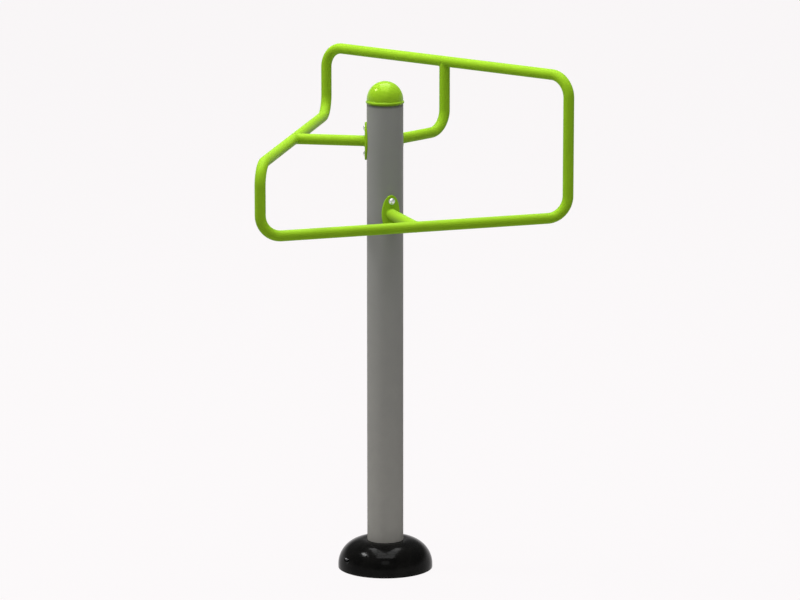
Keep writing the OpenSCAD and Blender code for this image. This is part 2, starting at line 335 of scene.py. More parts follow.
class TubeRun:
    """A hollow tube that is drawn along its path, one straight or bend at a time."""

    def __init__(self, start, direction):
        self.bm = bmesh.new()
        self.point = Vector(start)
        self.direction = Vector(direction)
        turn = self.direction.to_track_quat("Z", "Y").to_matrix().to_4x4()
        place = Matrix.Translation(self.point) @ turn
        edges = []
        for radius in (RAIL_RADIUS, RAIL_RADIUS - sizes().rail_wall):
            circle = bmesh.ops.create_circle(
                self.bm, cap_ends=False, segments=sizes().tube_sides, radius=radius, matrix=place
            )
            edges += {edge for vert in circle["verts"] for edge in vert.link_edges}
        self.end = bmesh.ops.bridge_loops(self.bm, edges=edges)["faces"]
        self.first = list(self.bm.verts)
        self.walled = False

    def open_section(self):
        """Takes out the section that the next stretch starts from, but not the tube's own end."""
        inside = [face for face in self.end if face.is_valid and self.walled]
        bmesh.ops.delete(self.bm, geom=inside, context="FACES")
        self.walled = True

    def straight(self, length):
        """Goes on in the same direction."""
        result = bmesh.ops.extrude_face_region(self.bm, geom=self.end)["geom"]
        self.open_section()
        step = self.direction * length
        bmesh.ops.translate(self.bm, vec=step, verts=chosen(result, BMVert))
        self.end = chosen(result, BMFace)
        self.point = self.point + step

    def bend(self, direction):
        """Turns by a quarter into a new direction, square to the old one."""
        new_direction = Vector(direction)
        radius = sizes().bend_radius
        centre = self.point + new_direction * radius
        axis = self.direction.cross(new_direction)
        result = spin(self.bm, self.end, centre, axis, QUARTER, sizes().bend_steps)
        self.open_section()
        self.end = chosen(result, BMFace)
        self.point = centre + self.direction * radius
        self.direction = new_direction

    def last(self):
        """The points of the tube's last end."""
        return list({vert for face in self.end for vert in face.verts})


def build_rail(name, node, turn, height, left_leg, right_leg):
    """A rail along one side of the triangle, with a leg at each end."""
    radius = sizes().bend_radius
    left = math.copysign(1, left_leg)
    right = math.copysign(1, right_leg)
    run = TubeRun((-SIDE / 2, -SIDE_OUT, height + left_leg), (0, 0, -left))
    run.straight(abs(left_leg) - radius)
    run.bend((1, 0, 0))
    run.straight(SIDE - 2 * radius)
    run.bend((0, 0, right))
    run.straight(abs(right_leg) - radius)
    bmesh.ops.rotate(
        run.bm, cent=(0, 0, 0), matrix=Matrix.Rotation(turn, 3, "Z"), verts=run.bm.verts
    )
    finish_piece(name, run.bm, green_coat(), [node])


def plate_outer_radius():
    """The distance of a saddle plate's outer face from the post's axis."""
    return sizes().post_radius + sizes().weld_gap + sizes().plate_thickness


def cope_to_plate(verts):
    """Shapes a tube's first end to the saddle plate's outer face."""
    reach = plate_outer_radius() + sizes().weld_gap
    for vert in verts:
        vert.co.y = -math.sqrt(reach**2 - vert.co.x**2)


def build_straight_arm(name, node, turn, height):
    """An arm that runs level from its plate to the side of a rail."""
    gap = RAIL_RADIUS + sizes().weld_gap
    run = TubeRun((0, 0, 0), (0, -1, 0))
    run.straight(SIDE_OUT)
    cope_to_plate(run.first)
    for vert in run.last():
        vert.co.y = -SIDE_OUT + math.sqrt(gap**2 - vert.co.z**2)
    bmesh.ops.transform(run.bm, matrix=arm_place(turn, height), verts=run.bm.verts)
    finish_piece(name, run.bm, green_coat(), [node])


def build_rising_arm(name, node, turn, height):
    """An arm that leaves its plate level and bends up to the underside of a rail."""
    radius = sizes().bend_radius
    gap = RAIL_RADIUS + sizes().weld_gap
    run = TubeRun((0, 0, 0), (0, -1, 0))
    run.straight(SIDE_OUT - radius)
    cope_to_plate(run.first)
    run.bend((0, 0, 1))
    run.straight(STEP - radius)
    for vert in run.last():
        vert.co.z = STEP - math.sqrt(gap**2 - (vert.co.y + SIDE_OUT) ** 2)
    bmesh.ops.transform(run.bm, matrix=arm_place(turn, height), verts=run.bm.verts)
    finish_piece(name, run.bm, green_coat(), [node])


def arm_place(turn, height):
    """Moves a shape from the origin to one arm's turn and height."""
    return Matrix.Translation((0, 0, height)) @ Matrix.Rotation(turn, 4, "Z")


def build_weld(name, place, rise, thinning=0):
    """A rippled bead round a tube's end. Along the tube's axis, Z, it follows rise(x, y). Its two
    sides along Y are thinner by a share."""
    bead = sizes().weld_radius
    ripples = round(FULL_TURN * RAIL_RADIUS / sizes().weld_pitch)
    bm = bmesh.new()
    start = Matrix.Translation((RAIL_RADIUS, 0, 0)) @ Matrix.Rotation(QUARTER, 4, "X")
    section = bmesh.ops.create_circle(
        bm, cap_ends=False, segments=WELD_SIDES, radius=bead, matrix=start
    )
    edges = list({edge for vert in section["verts"] for edge in vert.link_edges})
    steps = ripples * RIPPLE_STEPS
    spin(bm, section["verts"] + edges, (0, 0, 0), Z_AXIS, FULL_TURN, steps, merge=True)
    for vert in bm.verts:
        angle = math.atan2(vert.co.y, vert.co.x)
        core = Vector((RAIL_RADIUS * math.cos(angle), RAIL_RADIUS * math.sin(angle), 0))
        swell = 1 + RIPPLE_SHARE * math.cos(ripples * angle)
        slimness = 1 - thinning * math.sin(angle) ** 4
        vert.co = core + (vert.co - core) * (swell * slimness)
        vert.co.z += rise(core.x, core.y)
    bmesh.ops.transform(bm, matrix=place, verts=bm.verts)
    finish_piece(name, bm, green_coat(), [], sharp=WELD_SHARP_ANGLE)


class Outline:
    """A section that is drawn in radius and height, and then turned about the Z axis."""

    def __init__(self, radius, height):
        self.bm = bmesh.new()
        self.tip = self.bm.verts.new((radius, 0, height))

    def line(self, radius, height):
        """Draws a straight line to a point."""
        result = bmesh.ops.extrude_vert_indiv(self.bm, verts=[self.tip])
        self.tip = result["verts"][0]
        self.tip.co = (radius, 0, height)

    def arc(self, radius, height, degrees, steps):
        """Turns the tip about a centre, anticlockwise where the angle is positive."""
        centre = (radius, 0, height)
        result = spin(self.bm, [self.tip], centre, -Y_AXIS, math.radians(degrees), steps)
        self.tip = chosen(result, BMVert)[0]

    def close(self):
        """Joins the tip to the first point."""
        self.bm.verts.ensure_lookup_table()
        self.bm.edges.new((self.tip, self.bm.verts[0]))

    def lathe(self, steps):
        """Turns the section into a body of revolution."""
        for vert in self.bm.verts:
            if abs(vert.co.x) < SMALLEST_GAP:
                vert.co.x = 0
        section = list(self.bm.verts) + list(self.bm.edges)
        spin(self.bm, section, (0, 0, 0), Z_AXIS, FULL_TURN, steps, merge=True)
        bmesh.ops.remove_doubles(self.bm, verts=self.bm.verts, dist=SMALLEST_GAP)
        return self.bm


def corner_edges(bm):
    """The edges at the corners of a closed shape."""
    bmesh.ops.recalc_face_normals(bm, faces=bm.faces)
    limit = math.radians(CORNER_ANGLE)
    return [e for e in bm.edges if e.is_manifold and e.calc_face_angle() > limit]


def round_edges(bm, edges, radius, segments):
    """Rounds edges off."""
    bmesh.ops.bevel(
        bm,
        geom=edges,
        offset=radius,
        offset_type="OFFSET",
        segments=segments,
        profile=0.5,
        affect="EDGES",
        clamp_overlap=True,
        material=-1,
    )


def extrude_loop(bm, edges):
    """Extrudes a closed loop of edges. Gives the new loop's edges and its points."""
    result = bmesh.ops.extrude_edge_only(bm, edges=edges)["geom"]
    verts = chosen(result, BMVert)
    loop = [e for e in chosen(result, BMEdge) if set(e.verts) <= set(verts)]
    return loop, verts


def place_copies(bm, places):
    """Puts a copy of the whole shape at each place, instead of the first one."""
    first = list(bm.verts) + list(bm.edges) + list(bm.faces)
    for place in places:
        result = bmesh.ops.duplicate(bm, geom=first)
        copied = chosen(result["geom"], BMVert)
        bmesh.ops.transform(bm, matrix=place, verts=copied)
    bmesh.ops.delete(bm, geom=chosen(first, BMVert), context="VERTS")


def drill(radius, low, high, steps):
    """Starts a cylinder on the Z axis between two levels."""
    bm = bmesh.new()
    bmesh.ops.create_cone(
        bm,
        cap_ends=True,
        segments=steps,
        radius1=radius,
        radius2=radius,
        depth=high - low,
        matrix=Matrix.Translation((0, 0, (low + high) / 2)),
    )
    return bm


def cut_across(bm, level):
    """Divides the faces of a shape at a level."""
    bmesh.ops.bisect_plane(
        bm,
        geom=list(bm.verts) + list(bm.edges) + list(bm.faces),
        dist=SMALLEST_GAP,
        plane_co=(0, 0, level),
        plane_no=Z_AXIS,
    )


def cut(piece, bm):
    """Takes the shape in a bmesh out of a finished piece."""
    bmesh.ops.recalc_face_normals(bm, faces=bm.faces)
    cutter = object_from("cutter", bm)
    cutter_mesh = cutter.data
    modifier = piece.modifiers.new("cut", "BOOLEAN")
    modifier.operation = "DIFFERENCE"
    modifier.solver = "EXACT"
    modifier.object = cutter
    finished = piece.evaluated_get(bpy.context.evaluated_depsgraph_get())
    mesh = bpy.data.meshes.new_from_object(finished)
    merged = bmesh.new()
    merged.from_mesh(mesh)
    bmesh.ops.remove_doubles(merged, verts=merged.verts, dist=SMALLEST_GAP)
    merged.to_mesh(mesh)
    merged.free()
    piece.modifiers.clear()
    whole = piece.data
    piece.data = mesh
    mesh.name = piece.name
    bpy.data.meshes.remove(whole)
    bpy.data.objects.remove(cutter)
    bpy.data.meshes.remove(cutter_mesh)
    shade(mesh, SHARP_ANGLE)


def bolt_levels(height):
    """The levels of the two bolts of a plate at a height."""
    half = sizes().bolt_pitch / 2
    return height - half, height + half


def bolt_places(distance):
    """The place of each plate bolt, with Z pointing away from the post at a distance."""
    outwards = Matrix.Translation((0, -distance, 0)) @ Matrix.Rotation(QUARTER, 4, "X")
    places = []
    for turn, height in ARM_PLACES.values():
        for level in bolt_levels(height):
            places.append(arm_place(turn, level) @ outwards)
    return places


def seat_distance():
    """The distance of a washer's seat from the post's axis."""
    outer = plate_outer_radius()
    seat = sizes().washer_radius + sizes().hole_gap
    return math.sqrt(outer**2 - seat**2) - sizes().seat_sink


def build_post():
    """The post's tube: a chamfered top, and a hole for each threaded insert."""
    outer = sizes().post_radius
    inner = outer - sizes().post_wall
    edge = sizes().post_edge
    outline = Outline(inner, POST_FOOT)
    outline.line(outer, POST_FOOT)
    outline.line(outer, POST_TOP - edge)
    outline.line(outer - edge, POST_TOP)
    outline.line(inner, POST_TOP)
    outline.close()
    bm = outline.lathe(sizes().round_steps)
    hole = sizes().insert_radius + sizes().thread_gap
    for height in (LOW_HEIGHT, MIDDLE_HEIGHT):
        for level in bolt_levels(height):
            cut_across(bm, level - CUT_SHARE * hole)
            cut_across(bm, level + CUT_SHARE * hole)
    piece = finish_piece("post_tube", bm, grey_coat(), ["post"])
    holes = drill(hole, -outer / 2, outer / 2, HOLE_STEPS)
    place_copies(holes, bolt_places(outer))
    cut(piece, holes)


def build_cap():
    """The domed cap: a spigot inside the post, a bead on its rim, and the dome."""
    outer = sizes().post_radius
    bead = sizes().bead_height / 2
    bead_axis = outer + sizes().bead_out - bead
    bead_level = POST_TOP + bead
    fillet = sizes().cap_fillet
    spigot = outer - sizes().post_wall - sizes().slip_gap
    inner = spigot - sizes().cap_wall
    dome_level = CAP_TOP - outer
    fillet_rise = math.sqrt((bead + fillet) ** 2 - (outer + fillet - bead_axis) ** 2)
    fillet_angle = math.degrees(math.atan2(fillet_rise, outer + fillet - bead_axis))
    bead_foot = math.sqrt(bead**2 - (outer - bead_axis) ** 2)
    foot_angle = math.degrees(math.atan2(bead_foot, outer - bead_axis))
    outline = Outline(0, dome_level + inner)
    outline.arc(0, dome_level, -90, CAP_LINING_STEPS)
    outline.line(inner, CAP_FOOT)
    outline.line(spigot, CAP_FOOT)
    outline.line(spigot, POST_TOP)
    outline.line(outer, POST_TOP)
    outline.line(outer, bead_level - bead_foot)
    outline.arc(bead_axis, bead_level, foot_angle + fillet_angle, CAP_BEAD_STEPS)
    outline.arc(outer + fillet, bead_level + fillet_rise, -fillet_angle, CAP_FILLET_STEPS)
    outline.line(outer, max(dome_level, bead_level + fillet_rise + 2 * SMALLEST_GAP))
    outline.arc(0, dome_level, 90, CAP_DOME_STEPS)
    bm = outline.lathe(sizes().round_steps)
    finish_piece("domed_cap", bm, cap_gloss(), ["post_cap"])


def build_plate(name, node, turn, height):
    """A curved oval plate with a rounded outer edge and two seats for the bolts."""
    thickness = sizes().plate_thickness
    bm = bmesh.new()
    rim = bmesh.ops.create_circle(bm, cap_ends=False, segments=HEAD_STEPS, radius=1)["verts"]
    bmesh.ops.scale(bm, vec=(PLATE_WIDTH / 2, PLATE_HEIGHT / 2, 1), verts=rim)
    edges = list(bm.edges)
    for ring in range(PLATE_RINGS, 1, -1):
        edges, inner = extrude_loop(bm, edges)
        share = (ring - 1) / ring
        bmesh.ops.scale(bm, vec=(share, share, 1), verts=inner)
    centre = bmesh.ops.edgeloop_fill(bm, edges=edges)["faces"]
    bmesh.ops.poke(bm, faces=centre)
    faces = bmesh.ops.extrude_face_region(bm, geom=list(bm.faces))["geom"]
    front = chosen(faces, BMVert)
    bmesh.ops.translate(bm, vec=(0, 0, thickness), verts=front)
    rim = [e for e in corner_edges(bm) if min(v.co.z for v in e.verts) > thickness / 2]
    round_edges(bm, rim, sizes().plate_round, segments=4)
    for vert in bm.verts:
        across, up, out = vert.co
        radius = sizes().post_radius + sizes().weld_gap + out
        vert.co = (across, -math.sqrt(radius**2 - across**2), up)
    bmesh.ops.transform(bm, matrix=arm_place(turn, height), verts=bm.verts)
    piece = finish_piece(name, bm, green_coat(), [node])
    reach = 2 * thickness
    seats = drill(sizes().washer_radius + sizes().hole_gap, 0, reach, SEAT_STEPS)
    place_copies(seats, bolt_places(seat_distance()))
    cut(piece, seats)
    holes = drill(sizes().bolt_radius + sizes().hole_gap, -reach, reach, HOLE_STEPS)
    place_copies(holes, bolt_places(seat_distance()))
    cut(piece, holes)


def build_washers():
    """Plain washers with rounded edges, one under each bolt's head."""
    outer = sizes().washer_radius
    inner = sizes().bolt_radius + sizes().hole_gap
    outline = Outline(inner, 0)
    outline.line(outer, 0)
    outline.line(outer, sizes().washer_thickness)
    outline.line(inner, sizes().washer_thickness)
    outline.close()
    bm = outline.lathe(SEAT_STEPS)
    round_edges(bm, corner_edges(bm), sizes().washer_edge, segments=2)
    place_copies(bm, bolt_places(seat_distance()))
    finish_piece("plate_washers", bm, bright_steel(), ["saddle_washers"])


def hexagon(angle, across_flats):
    """The distance of a hexagon's edge from its centre, at an angle."""
    sector = FULL_TURN / 6
    return across_flats / 2 / math.cos((angle + sector / 2) % sector - sector / 2)


def build_bolts():
    """Round-headed bolts with a hexagon socket."""
    head = sizes().head_radius
    rise = sizes().head_height
    shank = sizes().bolt_radius
    ball = (head**2 + rise**2) / (2 * rise)
    mouth = sizes().socket_flats * DOME_END_SHARE
    tip = sizes().bolt_tip
    end = -sizes().bolt_length
    dome_foot = math.degrees(math.asin(head / ball))
    dome_end = math.degrees(math.asin(mouth / ball))
    outline = Outline(0, end)
    outline.line(shank - tip, end)
    outline.line(shank, end + tip)
    outline.line(shank, 0)
    outline.line(head, 0)
    outline.arc(0, rise - ball, dome_foot - dome_end, HEAD_DOME_STEPS)
    bm = outline.lathe(HEAD_STEPS)
    rim = [e for e in bm.edges if e.is_boundary]
    mouth_level = rise - ball + math.sqrt(ball**2 - mouth**2)
    for drop, share in ((sizes().socket_lip, LIP_SHARE), (sizes().socket_slope, 1)):
        rim, inner = extrude_loop(bm, rim)
        for vert in inner:
            angle = math.atan2(vert.co.y, vert.co.x)
            reach = hexagon(angle, sizes().socket_flats) * share
            vert.co = (reach * math.cos(angle), reach * math.sin(angle), mouth_level - drop)
    rim, inner = extrude_loop(bm, rim)
    bmesh.ops.translate(bm, vec=(0, 0, -sizes().socket_depth), verts=inner)
    bottom = bmesh.ops.edgeloop_fill(bm, edges=rim)["faces"]
    bmesh.ops.poke(bm, faces=bottom, offset=-sizes().socket_point)
    place_copies(bm, bolt_places(seat_distance() + sizes().washer_thickness))
    finish_piece("plate_bolts", bm, bright_steel(), ["saddle_bolts"])


def new_material(name, finish):
    """Makes a material once. The finish function wires its nodes."""
    material = bpy.data.materials.get(name + "_finish")
    if material is None:
        material = bpy.data.materials.new(name + "_finish")
        material.use_nodes = True
        finish(material.node_tree, material.node_tree.nodes["Principled BSDF"])
    return material


def surface(tree):
    """Where a point lies in the frame, and the surface's geometry there."""
    place = tree.nodes.new("ShaderNodeTexCoord").outputs["Object"]
    return place, tree.nodes.new("ShaderNodeNewGeometry").outputs


def wire(tree, kind, **inputs):
    """Adds a node and gives its inputs a value or a link. A name's underscores are spaces."""
    node = tree.nodes.new(kind)
    for name, value in inputs.items():
        plug(tree, node.inputs[name.replace("_", " ")], value)
    return node


def plug(tree, socket, value):
    """Gives a socket a link or a value."""
    if isinstance(value, bpy.types.NodeSocket):
        tree.links.new(value, socket)
    else:
        socket.default_value = value


def maths(tree, operation, first, second=0.0):
    """Works out one step of arithmetic."""
    node = tree.nodes.new("ShaderNodeMath")
    node.operation = operation
    plug(tree, node.inputs[0], first)
    plug(tree, node.inputs[1], second)
    return node.outputs[0]


def spread(tree, value, from_low, from_high, to_low, to_high):
    """Maps one range of a value on another, and stops at its ends."""
    node = tree.nodes.new("ShaderNodeMapRange")
    node.clamp = True
    for index, item in enumerate((value, from_low, from_high, to_low, to_high)):
        plug(tree, node.inputs[index], item)
    return node.outputs[0]


def noise(tree, place, scale, detail, roughness=0.5):
    """A cloudy pattern between 0 and 1."""
    node = wire(tree, "ShaderNodeTexNoise", Vector=place, Scale=scale, Detail=detail)
    node.inputs["Roughness"].default_value = roughness
    return node.outputs["Fac"]


def mixed(tree, factor, first, second):
    """Mixes two colours, whose sockets come after the node's others."""
    node = tree.nodes.new("ShaderNodeMix")
    node.data_type = "RGBA"
    plug(tree, node.inputs[0], factor)
    plug(tree, node.inputs[6], first)
    plug(tree, node.inputs[7], second)
    return node.outputs[2]


def new_group(name, inputs, outputs):
    """Starts a node group whose inputs and outputs have names and socket kinds."""
    group = bpy.data.node_groups.new(name, "ShaderNodeTree")
    for label, kind, value in inputs:
        socket = group.interface.new_socket(name=label, in_out="INPUT", socket_type=kind)
        if value is not None:
            socket.default_value = value
    for label, kind in outputs:
        group.interface.new_socket(name=label, in_out="OUTPUT", socket_type=kind)
    given = group.nodes.new("NodeGroupInput").outputs
    result = group.nodes.new("NodeGroupOutput").inputs
    return group, given, result


def use_group(tree, build, **inputs):
    """Places a shared group in a material. The group is built when it is first used."""
    group = bpy.data.node_groups.get(build.__name__) or build(build.__name__)
    node = tree.nodes.new("ShaderNodeGroup")
    node.node_tree = group
    for name, value in inputs.items():
        plug(tree, node.inputs[name.replace("_", " ")], value)
    return node.outputs


def orange_peel(name):
    """The low ripple of a baked powder coat, with a finer grain on it."""
    group, given, result = new_group(
        name,
        [("Vector", VECTOR, None), ("Scale", NUMBER, 300.0)],
        [("Height", NUMBER)],
    )
    ripple = noise(group, given["Vector"], given["Scale"], detail=1.0)
    fine_scale = maths(group, "MULTIPLY", given["Scale"], GRAIN_FINENESS)
    fine = noise(group, given["Vector"], fine_scale, detail=2.0)
    grain = maths(group, "MULTIPLY", fine, GRAIN_SHARE)
    plug(group, result["Height"], maths(group, "ADD", ripple, grain))
    return group


def tone_drift(name):
    """A slow drift of a colour over the surface, lighter here and darker there."""
    group, given, result = new_group(
        name,
        [
            ("Vector", VECTOR, None),
            ("Color", COLOUR, None),
            ("Scale", NUMBER, 6.0),
            ("Amount", NUMBER, 0.1),
        ],
        [("Color", COLOUR), ("Mask", NUMBER)],
    )
    cloud = noise(group, given["Vector"], given["Scale"], detail=3.0)
    mask = spread(group, cloud, 0.3, 0.7, 0.0, 1.0)
    half = maths(group, "MULTIPLY", given["Amount"], 0.5)
    low = maths(group, "SUBTRACT", 1.0, half)
    level = maths(group, "ADD", low, maths(group, "MULTIPLY", mask, given["Amount"]))
    scaled = wire(group, "ShaderNodeVectorMath")
    scaled.operation = "SCALE"
    plug(group, scaled.inputs[0], given["Color"])
    plug(group, scaled.inputs["Scale"], level)
    plug(group, result["Color"], scaled.outputs[0])
    plug(group, result["Mask"], mask)
    return group


def dust_and_painted_foot_light(name):
    """Fine pale dust: thin on faces that look up, thicker near the ground, broken up by noise. Near
    the ground it is also painted light, which makes the post lighter towards its foot.
    """
    group, given, result = new_group(
        name,
        [
            ("Vector", VECTOR, None),
            ("Normal", VECTOR, None),
            ("Reach", NUMBER, 0.2),
            ("Top", NUMBER, 0.1),
            ("Foot", NUMBER, 0.2),
            ("Patchiness", NUMBER, 0.75),
        ],
        [("Mask", NUMBER)],
    )
    place = wire(group, "ShaderNodeSeparateXYZ", Vector=given["Vector"])
    facing = wire(group, "ShaderNodeSeparateXYZ", Vector=given["Normal"])
    upward = spread(group, facing.outputs["Z"], 0.5, 1.0, 0.0, 1.0)
    top = maths(group, "MULTIPLY", upward, given["Top"])
    low = spread(group, place.outputs["Z"], 0.0, given["Reach"], 1.0, 0.0)
    foot = maths(group, "MULTIPLY", low, given["Foot"])
    cloud = noise(group, given["Vector"], scale=22.0, detail=6.0, roughness=0.65)
    least = maths(group, "SUBTRACT", 1.0, given["Patchiness"])
    patch = spread(group, cloud, 0.35, 0.65, least, 1.0)
    plug(group, result["Mask"], maths(group, "MULTIPLY", maths(group, "ADD", top, foot), patch))
    return group


def rubbed_edges(name):
    """Where a finish is rubbed thin: on outward edges, broken up by noise."""
    group, given, result = new_group(
        name,
        [("Vector", VECTOR, None), ("Edge", NUMBER, 0.5), ("Amount", NUMBER, 0.5)],
        [("Mask", NUMBER)],
    )
    edge = spread(group, given["Edge"], 0.52, 0.62, 0.0, 1.0)
    cloud = noise(group, given["Vector"], scale=180.0, detail=4.0)
    patch = spread(group, cloud, 0.45, 0.6, 0.0, 1.0)
    mask = maths(group, "MULTIPLY", edge, patch)
    plug(group, result["Mask"], maths(group, "MULTIPLY", mask, given["Amount"]))
    return group


def painted_cap_shadow(name):
    """Painted shadow in the seam between the post and its cap, under the cap's bead, darkest at the
    seam's level.
    """
    group, given, result = new_group(
        name,
        [
            ("Vector", VECTOR, None),
            ("Level", NUMBER, 1.0),
            ("Reach", NUMBER, 0.01),
            ("Amount", NUMBER, 0.5),
        ],
        [("Mask", NUMBER)],
    )
    place = wire(group, "ShaderNodeSeparateXYZ", Vector=given["Vector"])
    flat = wire(group, "ShaderNodeCombineXYZ", X=place.outputs["X"], Y=place.outputs["Y"])
    spoke = wire(group, "ShaderNodeVectorMath", Vector=flat.outputs["Vector"])
    spoke.operation = "LENGTH"
    near = spread(group, spoke.outputs["Value"], SEAM_NEAR, SEAM_FAR, 1.0, 0.0)
    away = maths(group, "ABSOLUTE", maths(group, "SUBTRACT", place.outputs["Z"], given["Level"]))
    full = maths(group, "MULTIPLY", given["Reach"], SEAM_FULL_SHARE)
    seam = spread(group, away, full, given["Reach"], 1.0, 0.0)
    cloud = noise(group, given["Vector"], scale=90.0, detail=4.0)
    patch = spread(group, cloud, 0.3, 0.7, 0.7, 1.0)
    mask = maths(group, "MULTIPLY", maths(group, "MULTIPLY", seam, near), given["Amount"])
    plug(group, result["Mask"], maths(group, "MULTIPLY", mask, patch))
    return group


def set_tone(tree, place, colour, scale, amount):
    """A finish's own colour, drifting slowly over the surface."""
    return use_group(tree, tone_drift, Vector=place, Color=(*colour, 1), Scale=scale, Amount=amount)


def set_roughness(tree, shader, drift, dust_and_foot_light, least, most):
    """Roughness that drifts between two values, and rises under the dust, whose mask on the post
    also paints light towards its foot.
    """
    bare = spread(tree, drift["Mask"], 0.0, 1.0, least, most)
    plug(tree, shader.inputs["Roughness"], maths(tree, "ADD", bare, dust_and_foot_light["Mask"]))


def set_ripple(tree, shader, place, scale, distance, strength):
    """The ripple of a baked or moulded surface, as a bump."""
    peel = use_group(tree, orange_peel, Vector=place, Scale=scale)
    node = wire(tree, "ShaderNodeBump", Height=peel["Height"], Distance=distance, Strength=strength)
    plug(tree, shader.inputs["Normal"], node.outputs["Normal"])


def green_finish(tree, shader, least_rough=0.46, most_rough=0.54, gloss=0.06):
    """Smooth lime powder coat."""
    place, about = surface(tree)
    drift = set_tone(tree, place, colours().green, scale=7.0, amount=0.08)
    dust_and_foot_light = use_group(
        tree, dust_and_painted_foot_light, Vector=place, Normal=about["Normal"], Reach=0.1, Top=0.03, Foot=0.0
    )
    thin = use_group(tree, rubbed_edges, Vector=place, Edge=about["Pointiness"], Amount=0.25)
    worn = mixed(tree, thin["Mask"], drift["Color"], RUBBED_GREEN)
    # Painted shadow: darkens the lower part of the cap's bead near the seam, where the bead's
    # shadow falls
    bead_shadow = use_group(tree, painted_cap_shadow, Vector=place, Level=POST_TOP, Reach=8 * MM, Amount=0.65)
    with_dust_and_light = mixed(tree, dust_and_foot_light["Mask"], worn, DUST_AND_PAINTED_LIGHT)
    plug(tree, shader.inputs["Base Color"], mixed(tree, bead_shadow["Mask"], with_dust_and_light, PAINTED_SHADOW))
    set_roughness(tree, shader, drift, dust_and_foot_light, least_rough, most_rough)
    shader.inputs["Specular IOR Level"].default_value = gloss
    shader.inputs["Specular Tint"].default_value = GREEN_GLOSS
    set_ripple(tree, shader, place, scale=320.0, distance=0.09 * MM, strength=0.5)


def cap_finish(tree, shader):
    """The same lime on the cap, which is glossier than the rails."""
    green_finish(tree, shader, least_rough=0.10, most_rough=0.15, gloss=0.16)


def grey_finish(tree, shader):
    """Satin grey coat with a fine metallic fleck."""
    place, about = surface(tree)
    drift = set_tone(tree, place, colours().grey, scale=4.0, amount=0.08)
    fleck = wire(tree, "ShaderNodeTexVoronoi", Vector=place, Scale=1800.0)
    sparkle = spread(tree, fleck.outputs["Distance"], 0.0, 0.28, 1.0, 0.0)
    faint = maths(tree, "MULTIPLY", sparkle, FLECK_SHARE)
    flecked = mixed(tree, faint, drift["Color"], METAL_FLECK)
    # Dust towards the foot, partly painted light: the post's coat is made paler the nearer it is to
    # the ground
    dust_and_foot_light = use_group(
        tree, dust_and_painted_foot_light,
        Vector=place, Normal=about["Normal"], Reach=1.2, Top=0.06, Foot=0.62, Patchiness=0.25,
    )
    # Painted shadow: a dark band on the post just under the cap's bead
    bead_shadow = use_group(tree, painted_cap_shadow, Vector=place, Level=POST_TOP, Reach=9 * MM, Amount=0.7)
    with_dust_and_light = mixed(tree, dust_and_foot_light["Mask"], flecked, DUST_AND_PAINTED_LIGHT)
    plug(tree, shader.inputs["Base Color"], mixed(tree, bead_shadow["Mask"], with_dust_and_light, PAINTED_SHADOW))
    set_roughness(tree, shader, drift, dust_and_foot_light, least=0.40, most=0.48)
    shader.inputs["Specular IOR Level"].default_value = 0.1
    set_ripple(tree, shader, place, scale=260.0, distance=0.08 * MM, strength=0.4)


def black_finish(tree, shader):
    """Glossy black moulded plastic with light scuffs and dust."""
    place, about = surface(tree)
    drift = set_tone(tree, place, colours().black, scale=14.0, amount=0.3)
    dust_and_foot_light = use_group(
        tree, dust_and_painted_foot_light, Vector=place, Normal=about["Normal"], Reach=0.09, Top=0.012, Foot=0.02
    )
    edge = use_group(tree, rubbed_edges, Vector=place, Edge=about["Pointiness"], Amount=0.3)
    worn = mixed(tree, edge["Mask"], drift["Color"], SCUFFED_BLACK)
    plug(tree, shader.inputs["Base Color"], mixed(tree, dust_and_foot_light["Mask"], worn, DUST_AND_PAINTED_LIGHT))
    set_roughness(tree, shader, drift, dust_and_foot_light, least=0.11, most=0.16)
    shader.inputs["Specular IOR Level"].default_value = 0.05
    set_ripple(tree, shader, place, scale=60.0, distance=0.4 * MM, strength=0.35)


def steel_finish(tree, shader):
    """Bright stainless steel, slightly mottled, with rubbed edges."""
    place, about = surface(tree)
    drift = set_tone(tree, place, colours().steel, scale=120.0, amount=0.15)
    edge = use_group(tree, rubbed_edges, Vector=place, Edge=about["Pointiness"], Amount=0.6)
    plug(tree, shader.inputs["Base Color"], mixed(tree, edge["Mask"], drift["Color"], RUBBED_STEEL))
    plug(tree, shader.inputs["Roughness"], spread(tree, drift["Mask"], 0.0, 1.0, 0.26, 0.38))
    shader.inputs["Metallic"].default_value = 1.0
    set_ripple(tree, shader, place, scale=900.0, distance=0.03 * MM, strength=0.4)


def green_coat():
    """The coat of the rails, arms, plates and welds."""
    return new_material("green_powder_coat", green_finish)


def cap_gloss():
    """The coat of the post's cap."""
    return new_material("green_cap_gloss", cap_finish)


def grey_coat():
    """The coat of the post and its foot."""
    return new_material("grey_satin_coat", grey_finish)


def black_plastic():
    """The plastic of the cover."""
    return new_material("black_moulded_plastic", black_finish)


def bright_steel():
    """The steel of the fasteners."""
    return new_material("bright_steel", steel_finish)


def give_finish(material, *nodes):
    """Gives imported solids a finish, and changes nothing else on them."""
    for node in nodes:
        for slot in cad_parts[node].material_slots:
            slot.material = material


def floor_finish(tree, shader):
    """A pale floor. The camera sees it as the backdrop, with the object's shadow."""
    shader.inputs["Base Color"].default_value = (FLOOR_TONE, FLOOR_TONE, FLOOR_TONE, 1)
    shader.inputs["Roughness"].default_value = 0.9
    shader.inputs["Specular IOR Level"].default_value = 0.0
    glow = wire(tree, "ShaderNodeEmission", Color=(*colours().backdrop, 1), Strength=1.0)
    keep = maths(tree, "MULTIPLY", seen_directly(tree), BACKDROP_SHARE)
    blend = tree.nodes.new("ShaderNodeMixShader")
    plug(tree, blend.inputs[0], keep)
    plug(tree, blend.inputs[1], shader.outputs[0])
    plug(tree, blend.inputs[2], glow.outputs[0])
    plug(tree, tree.nodes["Material Output"].inputs["Surface"], blend.outputs[0])


